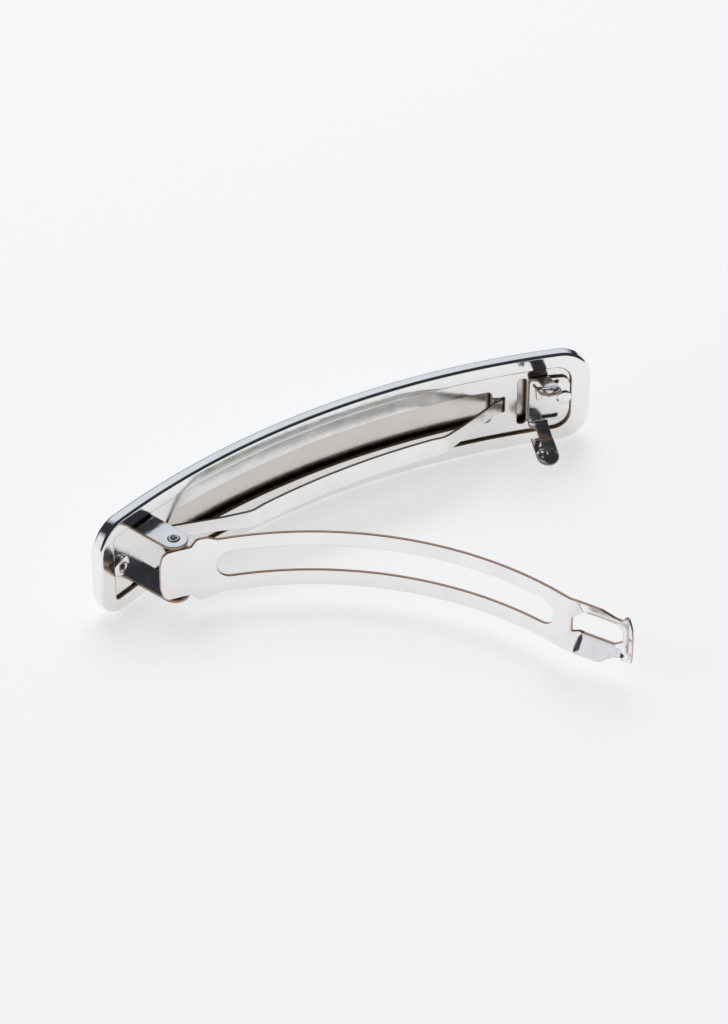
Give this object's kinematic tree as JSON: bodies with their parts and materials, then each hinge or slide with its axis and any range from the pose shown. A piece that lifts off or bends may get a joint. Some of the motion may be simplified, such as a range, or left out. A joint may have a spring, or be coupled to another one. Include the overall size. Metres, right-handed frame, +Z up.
{
  "type": "hair barrette",
  "caption": "Curved metal hair barrette with a hemmed cover, slotted base, bow spring, hinged clasp arm standing open, and a pinch catch with finger levers",
  "frame": {"origin": "middle of the cover's long lower edge, which the barrette stands on", "axes": "X along the barrette from the hinge end to the catch end, Y towards the decorative side of the cover, Z up across its width"},
  "size_m": [0.085, 0.0635, 0.0162],
  "materials": {
    "cover_metal": "polished",
    "base_metal": "polished",
    "spring_metal": "polished",
    "rivet_metal": "polished",
    "catch_metal": "polished",
    "arm_metal": "polished"
  },
  "bodies": {
    "cover_and_base": {"cover_shell": "cover_metal", "clip_base": "base_metal", "bow_spring": "spring_metal", "hinge_rivet": "rivet_metal", "catch_rivet": "rivet_metal", "catch_spring": "catch_metal"},
    "arm": {"clasp_arm": "arm_metal"},
    "lever_upper": {"catch_lever_upper": "catch_metal"},
    "lever_lower": {"catch_lever_lower": "catch_metal"}
  },
  "joints": [
    {"name": "arm_hinge", "type": "hinge", "parent": "cover_and_base", "child": "arm", "pos_m": [-0.03166, -0.01181, 0.0081], "axis": [0, 0, 1], "range_deg": [-40, 48.75]},
    {"name": "lever_upper_pinch", "type": "hinge", "parent": "cover_and_base", "child": "lever_upper", "pos_m": [0.03446, -0.00614, 0.012], "axis": [0.9531, -0.3027, 0], "range_deg": [-5, 5], "stiffness_Nm_per_rad": 0.01},
    {"name": "lever_lower_pinch", "type": "hinge", "parent": "cover_and_base", "child": "lever_lower", "pos_m": [0.03446, -0.00614, 0.0042], "axis": [-0.9531, 0.3027, 0], "range_deg": [-5, 5], "stiffness_Nm_per_rad": 0.01}
  ]
}
